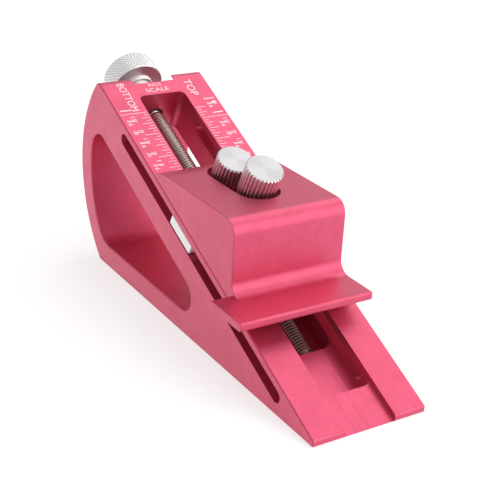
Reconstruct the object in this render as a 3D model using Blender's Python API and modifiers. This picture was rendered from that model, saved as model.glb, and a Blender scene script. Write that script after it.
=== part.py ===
"""Setup height gauge: a 25 degree wedge with a carriage that a lead screw drives up and down its slope.

Metres, +Z up. The origin is the middle of the base's flat underside, -Y is the thin toe, +Y the heel
with the adjusting knob. Most pieces are placed in the deck frame, which lies on the slope with its
origin at the toe's top edge: local x is across, local y runs up the slope, local z is square to it.
"""
from math import acos, atan2, cos, pi, radians, sin, sqrt, tan

import bmesh
import bpy
from mathutils import Euler, Vector

MM = 0.001
GAP = 0.25 * MM
# How far a cutter runs past what it cuts
PAST = 3 * MM

# Wedge body, seen from its side
SLOPE = radians(25)
BODY_WIDTH = 28 * MM
TOE_Y = -48 * MM
TOE_HEIGHT = 1.5 * MM
HEEL_CENTRE = Vector((74.7 * MM, 23.7 * MM))
HEEL_RADIUS = 32 * MM
HEEL_TOP_CORNER = 2.5 * MM
HEEL_BASE_CORNER = 1.0 * MM
EDGE_BREAK = 0.25 * MM

# Finger hole through the body
HOLE_FLOOR = 5.4 * MM
HOLE_ROOF_DEPTH = 11.0 * MM
HOLE_HEEL_RADIUS = 26.5 * MM
HOLE_TOP_CORNER = 5.0 * MM
HOLE_BASE_CORNER = 6.5 * MM
HOLE_TOE_CORNER = 4.1 * MM

# Slots and pockets sunk in the slope
SLOT_LOW_END = 11.9 * MM
SLOT_HIGH_END = 90.8 * MM
SLOT_DEPTH = 3.225 * MM
SLOT_RADIUS = 1.525 * MM
# A hair under a full round, so that the slot's ends keep a short straight
SLOT_CORNER = 0.999 * SLOT_RADIUS
CHANNEL_HALF_WIDTH = 6.2 * MM
CHANNEL_DEPTH = 1.25 * MM
POCKET_LOW_END = 8.9 * MM
SHELF_DEPTH = 4.95 * MM
SHELF_CORNER = 1.8 * MM
DEEP_LOW_END = 22.0 * MM
DEEP_FLOOR = 9.6 * MM
DEEP_CORNER = 2.5 * MM
THROUGH_LOW_END = 49.5 * MM
POCKET_HIGH_END = 100.0 * MM
POCKET_CORNER = 1.5 * MM
SEAT_START = 104.4 * MM
SEAT_RADIUS = 9.0 * MM

# Lead screw, M4 x 0.7, and what it turns in
SCREW_DEPTH = 7.2 * MM
SCREW_RADIUS = 2.0 * MM
SCREW_LOW_END = 22.3 * MM
SCREW_HIGH_END = 99.9 * MM
SCREW_CHAMFER = 0.45 * MM
NOSE_LENGTH = 1.2 * MM
TAIL_RADIUS = 1.25 * MM
TAIL_LENGTH = 4.0 * MM
STEM_RADIUS = 1.5 * MM
STEM_END = 115.4 * MM
STEM_CHAMFER = 0.2 * MM
BUSH_RADIUS = 2.8 * MM
BUSH_START = 101.5 * MM
BUSH_FLANGE_RADIUS = 3.9 * MM
BUSH_FLANGE = 0.8 * MM
WASHER_RADIUS = 3.7 * MM
WASHER_THICKNESS = 0.5 * MM
WASHER_GAP = 0.3 * MM
WAVE_HEIGHT = 0.7 * MM
WAVE_RADIUS = 2.7 * MM
WAVE_WIRE = 0.18 * MM

# Adjusting knob
KNOB_FACE = 110.9 * MM
KNOB_END = 116.4 * MM
KNOB_RADIUS = 6.95 * MM
KNOB_CHAMFER = 0.45 * MM
BOSS_RADIUS = 3.95 * MM
BOSS_START = 109.6 * MM
BOSS_EDGE = 0.4 * MM
HUB_RADIUS = 3.2 * MM
SET_SCREW_RADIUS = 0.95 * MM
SET_SCREW_LENGTH = 3.2 * MM
SET_SCREW_CHAMFER = 0.2 * MM

# Carriage, heights above the table and distances from the toe
CARRIAGE_LIFT = 0.2 * MM
CARRIAGE_TOP = 34.65 * MM
CARRIAGE_FRONT = 31.95 * MM
CARRIAGE_REAR = 66.5 * MM
CARRIAGE_REAR_LIP = 0.65 * MM
TAIL_ARC_RADIUS = 17.0 * MM
FRONT_CORNER = 3.2 * MM
LEDGE_TOP = 18.29 * MM
LEDGE_BOTTOM = 16.4 * MM
LEDGE_FRONT = 20.27 * MM
LEDGE_EDGE = 0.45 * MM
LEDGE_FILLET = 3.0 * MM
EAR_SIDE = -18.8 * MM
EAR_REAR = 31.86 * MM
TONGUE_HALF_WIDTH = 5.9 * MM
TONGUE_DEPTH = 1.0 * MM
TONGUE_START = 38.6 * MM
TONGUE_END = 72.6 * MM

# Lock knob and release knob, both square to the slope
LOCK_ALONG = 55.5 * MM
RELEASE_ALONG = 65.5 * MM
LOCK_TOP = 17.2 * MM
RELEASE_TOP = 10.5 * MM
SMALL_KNOB_RADIUS = 4.25 * MM
SMALL_KNOB_HEIGHT = 8.0 * MM
SMALL_KNOB_EDGE = 0.2 * MM
SMALL_KNOB_RIBS = 30
RIB_DEPTH = 0.35 * MM
RECESS_RADIUS = 5.0 * MM
RECESS_END = 65.8 * MM
RECESS_FLOOR = 4.6 * MM
PAD_RADIUS = 3.9 * MM
LOCK_FLOOR = 8.1 * MM
RELEASE_FLOOR = 0.6 * MM
DEEP_RECESS_START = 60.2 * MM
DEEP_RECESS_CORNER = 1.0 * MM
STUD_RADIUS = 1.5 * MM
STUD_CHAMFER = 0.2 * MM
STUD_IN_KNOB = 4.0 * MM
STUD_LOW_END = 4.4 * MM

# Clamp plate under the carriage, its wings in the side slots
PLATE_TOP = 1.95 * MM
PLATE_BOTTOM = 4.5 * MM
WING_REACH = 13.9 * MM
WING_START = 53.6 * MM
PLATE_START = 51.4 * MM
PLATE_END = 63.4 * MM
WEB_HALF_WIDTH = 5.8 * MM
WEB_END = PLATE_END - 1 * MM
PLATE_EDGE = 0.15 * MM
SPRING_RADIUS = 2.6 * MM
SPRING_WIRE = 0.12 * MM

# Half nut on the lead screw
NUT_HALF_WIDTH = 4.5 * MM
NUT_START = 63.9 * MM
NUT_END = 71.4 * MM
NUT_TOP = 2.6 * MM
NUT_BOTTOM = 7.4 * MM
NUT_EDGE = 0.3 * MM
NUT_HOLE_TOP = -1 * MM
PIN_ALONG = 70.2 * MM
PIN_ACROSS = 2.7 * MM
PIN_RADIUS = 0.6 * MM
PIN_CHAMFER = 0.15 * MM
PIN_HOLE_RADIUS = PIN_RADIUS + 0.2 * MM
PIN_TOP = 0.25 * MM
PIN_BOTTOM = 4.2 * MM
PIN_HOLE_TOP = 0.45 * MM
PIN_HOLE_BOTTOM = 5.0 * MM
CLIP_TOP = 1.25 * MM
CLIP_THICKNESS = 0.5 * MM
CLIP_RADIUS = 2.3 * MM
CLIP_OPENING = radians(35)
GROOVE_RADIUS = 1.1 * MM
GROOVE_GAP = 0.1 * MM

# An outline drawn in x and y stands upright along the object with this turn
SIDEWAYS = (radians(90), 0, radians(90))
ALONG_SLOPE = (radians(-90), 0, 0)


def clear_scene():
    for thing in list(bpy.data.objects):
        bpy.data.objects.remove(thing, do_unlink=True)


def make_collection(name):
    collection = bpy.data.collections.new(name)
    bpy.context.scene.collection.children.link(collection)
    return collection


def make_empty(name, parent=None, location=(0, 0, 0), rotation=(0, 0, 0)):
    empty = bpy.data.objects.new(name, None)
    empty.empty_display_size = 5 * MM
    place(empty, gauge, parent, location, rotation)
    return empty


def place(thing, collection, parent, location, rotation):
    collection.objects.link(thing)
    thing.parent = parent
    thing.location = location
    thing.rotation_euler = rotation


def finish(name, colour, roughness, metallic):
    material = bpy.data.materials.new(name)
    material.use_nodes = True
    shader = material.node_tree.nodes["Principled BSDF"]
    shader.inputs["Base Color"].default_value = (*colour, 1)
    shader.inputs["Roughness"].default_value = roughness
    shader.inputs["Metallic"].default_value = metallic
    material.diffuse_color = (*colour, 1)
    return material


def arc(centre, radius, start, end, steps):
    """Points round an arc, from one angle to the other."""
    angles = [start + (end - start) * step / steps for step in range(steps + 1)]
    return [Vector((centre[0] + radius * cos(a), centre[1] + radius * sin(a))) for a in angles]


def rounded_polygon(corners, steps=4):
    """Closed outline through corners of (x, y, radius), each rounded by an arc."""
    points = []
    count = len(corners)
    for index, (x, y, radius) in enumerate(corners):
        here = Vector((x, y))
        if radius == 0:
            points.append(here)
            continue
        before = (Vector(corners[index - 1][:2]) - here).normalized()
        after = (Vector(corners[(index + 1) % count][:2]) - here).normalized()
        half = acos(before.dot(after)) / 2
        centre = here + (before + after).normalized() * radius / sin(half)
        start = here + before * radius / tan(half) - centre
        end = here + after * radius / tan(half) - centre
        first = atan2(start.y, start.x)
        turn = (atan2(end.y, end.x) - first + pi) % (2 * pi) - pi
        points += arc(centre, radius, first, first + turn, steps)
    return points


def corner_in_arc(point, direction, arc_radius, radius, way):
    """Centre of a corner that touches a line and the inside of an arc about the heel's centre.

    The outline runs along the direction with its inside on the left. way is 1 where it comes to the
    arc along the line, and -1 where it leaves the arc onto the line.
    """
    inward = Vector((-direction.y, direction.x))
    to_centre = HEEL_CENTRE - point
    reach = sqrt((arc_radius - radius) ** 2 - (to_centre.dot(inward) - radius) ** 2)
    return point + direction * (to_centre.dot(direction) + way * reach) + inward * radius


def heeled_outline(floor, roof_depth, arc_radius, base_corner, top_corner, toe):
    """Outline with a level floor, a round heel and a roof along the slope, closed by the toe points."""
    roof_point = Vector((roof_depth * sin(SLOPE), TOE_HEIGHT - roof_depth * cos(SLOPE)))
    down_slope = Vector((-cos(SLOPE), -sin(SLOPE)))
    low = corner_in_arc(Vector((0, floor)), Vector((1, 0)), arc_radius, base_corner, 1)
    high = corner_in_arc(roof_point, down_slope, arc_radius, top_corner, -1)
    low_angle = atan2(low.y - HEEL_CENTRE.y, low.x - HEEL_CENTRE.x)
    high_angle = atan2(high.y - HEEL_CENTRE.y, high.x - HEEL_CENTRE.x)
    points = arc(low, base_corner, -pi / 2, low_angle, 5)
    points += arc(HEEL_CENTRE, arc_radius, low_angle, high_angle, 18)[1:-1]
    points += arc(high, top_corner, high_angle, SLOPE + pi / 2, 5)
    return points + toe


def ribbed_circle(radius, depth, ribs, steps=3):
    """Circle with round ribs, whose valleys are as deep as given."""
    points = []
    for step in range(ribs * steps):
        angle = 2 * pi * step / (ribs * steps)
        reach = radius - depth * (0.5 - 0.5 * cos(ribs * angle))
        points.append(Vector((reach * cos(angle), reach * sin(angle))))
    return points


def mesh_from_curve(curve_object):
    bpy.context.view_layer.update()
    graph = bpy.context.evaluated_depsgraph_get()
    mesh = bpy.data.meshes.new_from_object(curve_object.evaluated_get(graph))
    shape = bmesh.new()
    shape.from_mesh(mesh)
    bmesh.ops.remove_doubles(shape, verts=shape.verts, dist=0.001 * MM)
    shape.to_mesh(mesh)
    shape.free()
    return mesh


def swap_for_mesh(name, curve_object, collection):
    """Takes a curve's place with the same shape as a mesh, so that it can be cut."""
    mesh = mesh_from_curve(curve_object)
    mesh.name = name
    solid = bpy.data.objects.new(name, mesh)
    place(solid, collection, curve_object.parent, curve_object.location, curve_object.rotation_euler)
    bpy.data.objects.remove(curve_object, do_unlink=True)
    solid.name = name
    return solid


def slab(name, outlines, low, high, parent=None, rotation=(0, 0, 0), offset=(0, 0, 0),
         collection=None, edge=0):
    """Flat outlines made solid from low to high along the turned local z."""
    collection = collection or gauge
    data = bpy.data.curves.new(name + "_outline", "CURVE")
    data.dimensions = "2D"
    data.fill_mode = "BOTH"
    data.extrude = (high - low) / 2 - edge
    data.bevel_depth = edge
    data.bevel_resolution = 0
    for outline in outlines:
        spline = data.splines.new("POLY")
        spline.points.add(len(outline) - 1)
        for point, spot in zip(spline.points, outline):
            point.co = (spot[0], spot[1], 0, 1)
        spline.use_cyclic_u = True
    curve_object = bpy.data.objects.new(name + "_outline", data)
    middle = Vector(offset) + Euler(rotation).to_matrix() @ Vector((0, 0, (low + high) / 2))
    place(curve_object, collection, parent, middle, rotation)
    return swap_for_mesh(name, curve_object, collection)


def turned(name, profile, parent, closed=False, steps=40, rotation=(0, 0, 0), location=(0, 0, 0),
           collection=None):
    """Solid of revolution about local z. The profile runs down the outer side from the top."""
    mesh = bpy.data.meshes.new(name)
    edges = [(index, index + 1) for index in range(len(profile) - 1)]
    if closed:
        edges.append((len(profile) - 1, 0))
    mesh.from_pydata([(radius, 0, height) for radius, height in profile], edges, [])
    solid = bpy.data.objects.new(name, mesh)
    place(solid, collection or gauge, parent, location, rotation)
    spin = solid.modifiers.new("Turn", "SCREW")
    spin.steps = steps
    spin.render_steps = steps
    spin.use_merge_vertices = True
    spin.merge_threshold = 0.001 * MM
    return solid


def rod(name, radius, low, high, parent, location=(0, 0, 0), chamfer=0.0, steps=32, collection=None,
        rotation=(0, 0, 0)):
    """Round bar along local z, with its ends chamfered if asked."""
    profile = [(0, high), (radius - chamfer, high), (radius, high - chamfer)]
    profile += [(radius, low + chamfer), (radius - chamfer, low), (0, low)]
    if chamfer == 0:
        profile = [(0, high), (radius, high), (radius, low), (0, low)]
    return turned(name, profile, parent, steps=steps, location=location, rotation=rotation,
                  collection=collection)


def ring(name, inner, outer, low, high, parent, location=(0, 0, 0)):
    profile = [(outer, high), (outer, low), (inner, low), (inner, high)]
    return turned(name, profile, parent, closed=True, location=location)


def wave_ring(name, radius, wire, low, high, parent, location=(0, 0, 0), waves=3, points=36):
    """Spring washer of round wire that rises and falls as it goes round."""
    data = bpy.data.curves.new(name, "CURVE")
    data.dimensions = "3D"
    data.bevel_depth = wire
    data.bevel_resolution = 1
    spline = data.splines.new("POLY")
    spline.points.add(points - 1)
    middle = (low + high) / 2
    swing = (high - low) / 2 - wire
    for index, point in enumerate(spline.points):
        angle = 2 * pi * index / points
        point.co = (radius * cos(angle), radius * sin(angle), middle + swing * cos(waves * angle), 1)
    spline.use_cyclic_u = True
    spring = bpy.data.objects.new(name, data)
    place(spring, gauge, parent, location, (0, 0, 0))
    return spring


def block(name, x_range, y_range, z_range, parent, collection=None):
    """Box between two limits on each axis."""
    limits = (x_range, y_range, z_range)
    shape = bmesh.new()
    bmesh.ops.create_cube(shape, size=1)
    bmesh.ops.scale(shape, vec=[high - low for low, high in limits], verts=shape.verts)
    mesh = bpy.data.meshes.new(name)
    shape.to_mesh(mesh)
    shape.free()
    solid = bpy.data.objects.new(name, mesh)
    place(solid, collection or gauge, parent, [(low + high) / 2 for low, high in limits], (0, 0, 0))
    return solid


def join_or_cut(target, tool, operation="DIFFERENCE"):
    tool.hide_render = True
    tool.display_type = "WIRE"
    change = target.modifiers.new(tool.name, "BOOLEAN")
    change.operation = operation
    change.solver = "EXACT"
    change.object = tool


def break_edges(target, width, angle=40):
    bevel = target.modifiers.new("Broken edges", "BEVEL")
    bevel.width = width
    bevel.segments = 1
    bevel.limit_method = "ANGLE"
    bevel.angle_limit = radians(angle)
    bevel.use_clamp_overlap = False


def dress(thing, material):
    thing.data.materials.append(material)
    if thing.type == "MESH":
        thing.data.shade_smooth()
        thing.data.set_sharp_from_angle(angle=radians(30))


def build_wedge_body():
    body_toe = [Vector((0, TOE_HEIGHT)), Vector((0, 0))]
    outside = heeled_outline(0, 0, HEEL_RADIUS, HEEL_BASE_CORNER, HEEL_TOP_CORNER, body_toe)
    toe_height = HOLE_FLOOR + HOLE_TOE_CORNER
    toe_depth = HOLE_ROOF_DEPTH + HOLE_TOE_CORNER
    toe_along = ((toe_height - TOE_HEIGHT) * cos(SLOPE) + toe_depth) / sin(SLOPE)
    hole_toe = arc((toe_along, toe_height), HOLE_TOE_CORNER, SLOPE + pi / 2, 3 * pi / 2, 9)
    hole = heeled_outline(HOLE_FLOOR, HOLE_ROOF_DEPTH, HOLE_HEEL_RADIUS, HOLE_BASE_CORNER,
                          HOLE_TOP_CORNER, hole_toe)
    body = slab("wedge_body", [outside, hole], -BODY_WIDTH / 2, BODY_WIDTH / 2, rotation=SIDEWAYS,
                offset=(0, TOE_Y, 0))
    break_edges(body, EDGE_BREAK)
    across = BODY_WIDTH / 2 + PAST
    slot = rounded_polygon([
        (SLOT_LOW_END, -SLOT_DEPTH - SLOT_RADIUS, SLOT_CORNER),
        (SLOT_HIGH_END, -SLOT_DEPTH - SLOT_RADIUS, SLOT_CORNER),
        (SLOT_HIGH_END, -SLOT_DEPTH + SLOT_RADIUS, SLOT_CORNER),
        (SLOT_LOW_END, -SLOT_DEPTH + SLOT_RADIUS, SLOT_CORNER)], steps=5)
    join_or_cut(body, slab("side_slot", [slot], -across, across, deck, SIDEWAYS, collection=cutters))
    half = CHANNEL_HALF_WIDTH
    channel = [(-half, -PAST), (half, -PAST), (half, POCKET_LOW_END + PAST),
               (-half, POCKET_LOW_END + PAST)]
    join_or_cut(body, slab("channel", [channel], -CHANNEL_DEPTH, PAST, deck, collection=cutters))
    steps_down = [("shelf_pocket", POCKET_LOW_END, SHELF_DEPTH, SHELF_CORNER),
                  ("deep_pocket", DEEP_LOW_END, DEEP_FLOOR, DEEP_CORNER),
                  ("through_pocket", THROUGH_LOW_END, HOLE_ROOF_DEPTH + PAST, POCKET_CORNER)]
    for name, low_end, depth, corner in steps_down:
        pocket = rounded_polygon([
            (-half, low_end, corner), (half, low_end, corner),
            (half, POCKET_HIGH_END, POCKET_CORNER), (-half, POCKET_HIGH_END, POCKET_CORNER)])
        join_or_cut(body, slab(name, [pocket], -depth, PAST, deck, collection=cutters))
    join_or_cut(body, rod("tail_bore", TAIL_RADIUS + GAP, SCREW_LOW_END - TAIL_LENGTH - 2 * GAP,
                          DEEP_LOW_END + PAST, screw_axis, collection=cutters))
    join_or_cut(body, rod("screw_hole", SCREW_RADIUS + GAP, POCKET_HIGH_END - PAST, SEAT_START + PAST,
                          screw_axis, collection=cutters))
    join_or_cut(body, rod("bush_bore", BUSH_RADIUS + GAP, BUSH_START, SEAT_START + PAST, screw_axis,
                          collection=cutters))
    join_or_cut(body, rod("knob_seat", SEAT_RADIUS, SEAT_START, KNOB_END, screw_axis, steps=48,
                          collection=cutters))
    dress(body, anodised)


def build_lead_screw():
    low, high, cut = SCREW_LOW_END, SCREW_HIGH_END, SCREW_CHAMFER
    profile = [(0, STEM_END), (STEM_RADIUS - STEM_CHAMFER, STEM_END),
               (STEM_RADIUS, STEM_END - STEM_CHAMFER), (STEM_RADIUS, high),
               (SCREW_RADIUS, high - NOSE_LENGTH),
               (SCREW_RADIUS, low + cut), (SCREW_RADIUS - cut, low), (TAIL_RADIUS, low),
               (TAIL_RADIUS, low - TAIL_LENGTH), (0, low - TAIL_LENGTH)]
    dress(turned("lead_screw", profile, screw_axis, steps=32), dark_steel)


def build_screw_seat():
    """Bush, washers and spring between the body's seat and the adjusting knob."""
    inner = STEM_RADIUS + GAP
    flange_low = SEAT_START + WASHER_GAP
    flange_high = flange_low + BUSH_FLANGE
    bush = [(BUSH_FLANGE_RADIUS, flange_high), (BUSH_FLANGE_RADIUS, flange_low),
            (BUSH_RADIUS, flange_low), (BUSH_RADIUS, BUSH_START + GAP),
            (inner, BUSH_START + GAP), (inner, flange_high)]
    dress(turned("screw_bush", bush, screw_axis, closed=True, steps=32), dark_steel)
    low = flange_high + WASHER_GAP
    high = low + WASHER_THICKNESS
    dress(ring("thrust_washer", inner, WASHER_RADIUS, low, high, screw_axis), steel)
    low = high + WASHER_GAP
    high = low + WAVE_HEIGHT
    dress(wave_ring("wave_washer", WAVE_RADIUS, WAVE_WIRE, low, high, screw_axis), spring_steel)
    low = high + WASHER_GAP
    high = low + WASHER_THICKNESS
    dress(ring("outer_washer", inner, WASHER_RADIUS, low, high, screw_axis), steel)
    return high + WASHER_GAP


def build_adjust_knob(hub_start):
    cut = KNOB_CHAMFER
    profile = [(0, KNOB_END), (KNOB_RADIUS - cut, KNOB_END), (KNOB_RADIUS, KNOB_END - cut),
               (KNOB_RADIUS, KNOB_FACE + cut), (KNOB_RADIUS - cut, KNOB_FACE),
               (BOSS_RADIUS, KNOB_FACE), (BOSS_RADIUS, BOSS_START + BOSS_EDGE),
               (BOSS_RADIUS - BOSS_EDGE, BOSS_START), (HUB_RADIUS, BOSS_START),
               (HUB_RADIUS, hub_start), (0, hub_start)]
    knob = turned("adjust_knob", profile, screw_axis, steps=56)
    join_or_cut(knob, rod("stem_bore", STEM_RADIUS + GAP, hub_start - PAST, STEM_END + GAP,
                          screw_axis, steps=24, collection=cutters))
    along = (KNOB_FACE + KNOB_END) / 2
    join_or_cut(knob, rod("set_screw_hole", SET_SCREW_RADIUS + GAP, STEM_RADIUS, KNOB_RADIUS + PAST,
                          screw_axis, location=(0, 0, along), rotation=ALONG_SLOPE, steps=20,
                          collection=cutters))
    dress(knob, steel)
    start = STEM_RADIUS + GAP
    screw = rod("knob_set_screw", SET_SCREW_RADIUS, start, start + SET_SCREW_LENGTH, screw_axis,
                location=(0, 0, along), rotation=ALONG_SLOPE, chamfer=SET_SCREW_CHAMFER, steps=20)
    dress(screw, dark_steel)


def carriage_outline():
    """Side view, from the ledge's lower front edge round to its upper one."""
    lift = CARRIAGE_LIFT
    sole_y = ((LEDGE_BOTTOM - TOE_HEIGHT) * cos(SLOPE) - lift) / sin(SLOPE)
    arc_centre = Vector((0, CARRIAGE_TOP - TAIL_ARC_RADIUS))
    sole_end = Vector((CARRIAGE_REAR, TOE_HEIGHT + (lift + CARRIAGE_REAR * sin(SLOPE)) / cos(SLOPE)))
    lip_top = sole_end.y + CARRIAGE_REAR_LIP
    drop = sqrt(TAIL_ARC_RADIUS ** 2 - (lip_top - arc_centre.y) ** 2)
    arc_centre.x = CARRIAGE_REAR - drop
    lip_angle = atan2(lip_top - arc_centre.y, drop)
    front = CARRIAGE_FRONT
    edge = LEDGE_EDGE
    points = arc((LEDGE_FRONT + edge, LEDGE_BOTTOM + edge), edge, pi, 3 * pi / 2, 3)
    points += [Vector((sole_y, LEDGE_BOTTOM)), sole_end]
    points += arc(arc_centre, TAIL_ARC_RADIUS, lip_angle, pi / 2, 6)
    corner = (front + FRONT_CORNER, CARRIAGE_TOP - FRONT_CORNER)
    points += arc(corner, FRONT_CORNER, pi / 2, pi, 6)
    fillet = (front - LEDGE_FILLET, LEDGE_TOP + LEDGE_FILLET)
    points += arc(fillet, LEDGE_FILLET, 0, -pi / 2, 6)
    points += arc((LEDGE_FRONT + edge, LEDGE_TOP - edge), edge, pi / 2, pi, 3)
    return points


def build_carriage():
    half = BODY_WIDTH / 2
    toe = (0, TOE_Y, 0)
    carriage = slab("carriage", [carriage_outline()], EAR_SIDE, half, rotation=SIDEWAYS, offset=toe)
    fillet_end = CARRIAGE_FRONT - LEDGE_FILLET
    behind = CARRIAGE_REAR + PAST
    beside = [(fillet_end, LEDGE_TOP), (EAR_REAR, LEDGE_TOP), (EAR_REAR, LEDGE_BOTTOM - PAST),
              (behind, LEDGE_BOTTOM - PAST), (behind, CARRIAGE_TOP + PAST),
              (fillet_end, CARRIAGE_TOP + PAST)]
    join_or_cut(carriage, slab("beside_ear", [beside], EAR_SIDE - PAST, -half, rotation=SIDEWAYS,
                               offset=toe, collection=cutters))
    tongue = block("tongue", (-TONGUE_HALF_WIDTH, TONGUE_HALF_WIDTH), (TONGUE_START, TONGUE_END),
                   (-TONGUE_DEPTH, PAST), deck, cutters)
    join_or_cut(carriage, tongue, "UNION")
    radius = RECESS_RADIUS
    above = LOCK_TOP + PAST
    recess = arc((0, LOCK_ALONG), radius, -pi, 0, 16) + arc((0, RECESS_END), radius, 0, pi, 16)
    pad = arc((0, LOCK_ALONG), PAD_RADIUS, 0, 2 * pi, 32)[:-1]
    join_or_cut(carriage, slab("knob_recess", [recess, pad], RECESS_FLOOR, above, deck,
                               collection=cutters))
    join_or_cut(carriage, rod("pad_top", PAD_RADIUS + GAP, LOCK_FLOOR, above, lock_axis,
                              collection=cutters))
    corner = DEEP_RECESS_CORNER
    start = DEEP_RECESS_START
    deep = arc((-radius + corner, start + corner), corner, -pi, -pi / 2, 3)
    deep += arc((radius - corner, start + corner), corner, -pi / 2, 0, 3)
    deep += arc((0, RECESS_END), radius, 0, pi, 16)
    join_or_cut(carriage, slab("deep_recess", [deep], RELEASE_FLOOR, above, deck, collection=cutters))
    for name, axis in (("lock_stud_hole", lock_axis), ("release_stud_hole", release_axis)):
        join_or_cut(carriage, rod(name, STUD_RADIUS + GAP, -TONGUE_DEPTH - PAST, LOCK_FLOOR + PAST, axis,
                                  steps=24, collection=cutters))
    for side, across in (("left", -PIN_ACROSS), ("right", PIN_ACROSS)):
        spot = (across, PIN_ALONG, 0)
        hole = rod(side + "_pin_hole", PIN_HOLE_RADIUS, -TONGUE_DEPTH - PAST, PIN_HOLE_TOP, deck,
                   location=spot, steps=16, collection=cutters)
        join_or_cut(carriage, hole)
        pin = rod("nut_guide_pin_" + side, PIN_RADIUS, -PIN_BOTTOM, PIN_TOP, deck, location=spot,
                  chamfer=PIN_CHAMFER, steps=16)
        dress(pin, steel)
    dress(carriage, anodised)


def build_small_knob(name, axis, top):
    """Ribbed hand knob, bored for the stud pressed into it. Gives the height of the stud's top."""
    edge = SMALL_KNOB_EDGE
    outline = ribbed_circle(SMALL_KNOB_RADIUS - edge, RIB_DEPTH, SMALL_KNOB_RIBS)
    low = top - SMALL_KNOB_HEIGHT
    knob = slab(name, [outline], low, top, axis, edge=edge)
    stud_top = low + STUD_IN_KNOB
    join_or_cut(knob, rod(name + "_bore", STUD_RADIUS + GAP, low - PAST, stud_top + GAP, axis,
                          steps=24, collection=cutters))
    dress(knob, steel)
    return stud_top


def build_lock():
    stud_top = build_small_knob("lock_knob", lock_axis, LOCK_TOP)
    stud = rod("lock_stud", STUD_RADIUS, -STUD_LOW_END, stud_top, lock_axis, chamfer=STUD_CHAMFER,
               steps=24)
    dress(stud, dark_steel)
    low = LOCK_FLOOR + WASHER_GAP
    dress(ring("lock_washer", STUD_RADIUS + GAP, WASHER_RADIUS, low, low + WASHER_THICKNESS,
               lock_axis), steel)
    dress(wave_ring("clamp_spring", SPRING_RADIUS, SPRING_WIRE, -PLATE_TOP + GAP, -TONGUE_DEPTH - GAP,
                    lock_axis), spring_steel)
    depth = (-PLATE_BOTTOM, -PLATE_TOP)
    plate = block("clamp_plate", (-WING_REACH, WING_REACH), (WING_START, PLATE_END), depth, deck)
    web = block("plate_web", (-WEB_HALF_WIDTH, WEB_HALF_WIDTH), (PLATE_START, WEB_END), depth, deck,
                cutters)
    join_or_cut(plate, web, "UNION")
    break_edges(plate, PLATE_EDGE)
    join_or_cut(plate, rod("plate_thread", STUD_RADIUS + GAP, -PLATE_BOTTOM - PAST, -PLATE_TOP + PAST,
                           lock_axis, steps=24, collection=cutters))
    dress(plate, bright_steel)


def build_release():
    stud_top = build_small_knob("release_knob", release_axis, RELEASE_TOP)
    groove_high = -CLIP_TOP + GROOVE_GAP
    groove_low = -CLIP_TOP - CLIP_THICKNESS - GROOVE_GAP
    stud = [(0, stud_top), (STUD_RADIUS, stud_top), (STUD_RADIUS, groove_high),
            (GROOVE_RADIUS, groove_high), (GROOVE_RADIUS, groove_low), (STUD_RADIUS, groove_low),
            (STUD_RADIUS, -STUD_LOW_END), (0, -STUD_LOW_END)]
    dress(turned("release_stud", stud, release_axis, steps=24), dark_steel)
    low = RELEASE_FLOOR + WASHER_GAP
    dress(ring("release_washer", STUD_RADIUS + GAP, WASHER_RADIUS, low, low + WASHER_THICKNESS,
               release_axis), steel)
    start, end = CLIP_OPENING, 2 * pi - CLIP_OPENING
    clip = arc((0, 0), CLIP_RADIUS, start, end, 20)
    clip += arc((0, 0), GROOVE_RADIUS + 2 * GROOVE_GAP, end, start, 20)
    dress(slab("release_clip", [clip], -CLIP_TOP - CLIP_THICKNESS, -CLIP_TOP, release_axis),
          spring_steel)


def build_half_nut():
    nut = block("half_nut", (-NUT_HALF_WIDTH, NUT_HALF_WIDTH), (NUT_START, NUT_END),
                (-NUT_BOTTOM, -NUT_TOP), deck)
    break_edges(nut, NUT_EDGE)
    join_or_cut(nut, rod("nut_thread", SCREW_RADIUS + GAP, NUT_START - PAST, NUT_END + PAST,
                         screw_axis, collection=cutters))
    join_or_cut(nut, rod("nut_stud_hole", STUD_RADIUS + GAP, -SCREW_DEPTH, NUT_HOLE_TOP, release_axis,
                         steps=24, collection=cutters))
    for side, across in (("left", -PIN_ACROSS), ("right", PIN_ACROSS)):
        join_or_cut(nut, rod("nut_pin_hole_" + side, PIN_HOLE_RADIUS, -PIN_HOLE_BOTTOM, NUT_HOLE_TOP,
                             deck, location=(across, PIN_ALONG, 0), steps=16, collection=cutters))
    dress(nut, bronze)


clear_scene()
gauge = make_collection("setup_height_gauge")
cutters = make_collection("cutters")

deck = make_empty("deck_frame", None, (0, TOE_Y, TOE_HEIGHT), (SLOPE, 0, 0))
screw_axis = make_empty("screw_axis", deck, (0, 0, -SCREW_DEPTH), ALONG_SLOPE)
lock_axis = make_empty("lock_axis", deck, (0, LOCK_ALONG, 0))
release_axis = make_empty("release_axis", deck, (0, RELEASE_ALONG, 0))

anodised = finish("anodised_aluminium", (0.60, 0.13, 0.19), 0.42, 0.7)
steel = finish("turned_steel", (0.78, 0.78, 0.77), 0.25, 1.0)
bright_steel = finish("ground_steel", (0.72, 0.72, 0.71), 0.35, 1.0)
dark_steel = finish("dark_steel", (0.30, 0.26, 0.24), 0.35, 1.0)
spring_steel = finish("spring_steel", (0.42, 0.42, 0.44), 0.3, 1.0)
bronze = finish("bronze", (0.60, 0.42, 0.22), 0.35, 1.0)

build_wedge_body()
build_lead_screw()
knob_start = build_screw_seat()
build_adjust_knob(knob_start)
build_carriage()
build_lock()
build_release()
build_half_nut()
bpy.context.view_layer.update()
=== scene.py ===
# %% [markdown]
# # Setup height gauge: the looks
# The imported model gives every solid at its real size. This lesson dresses it: it rounds the edges of the
# milled parts, cuts real threads and knurls, engraves the scales and gives each finish its own material.

from math import cos, floor, pi, radians, sin, sqrt

import bmesh
import bpy
from mathutils import Matrix, Vector


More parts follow.
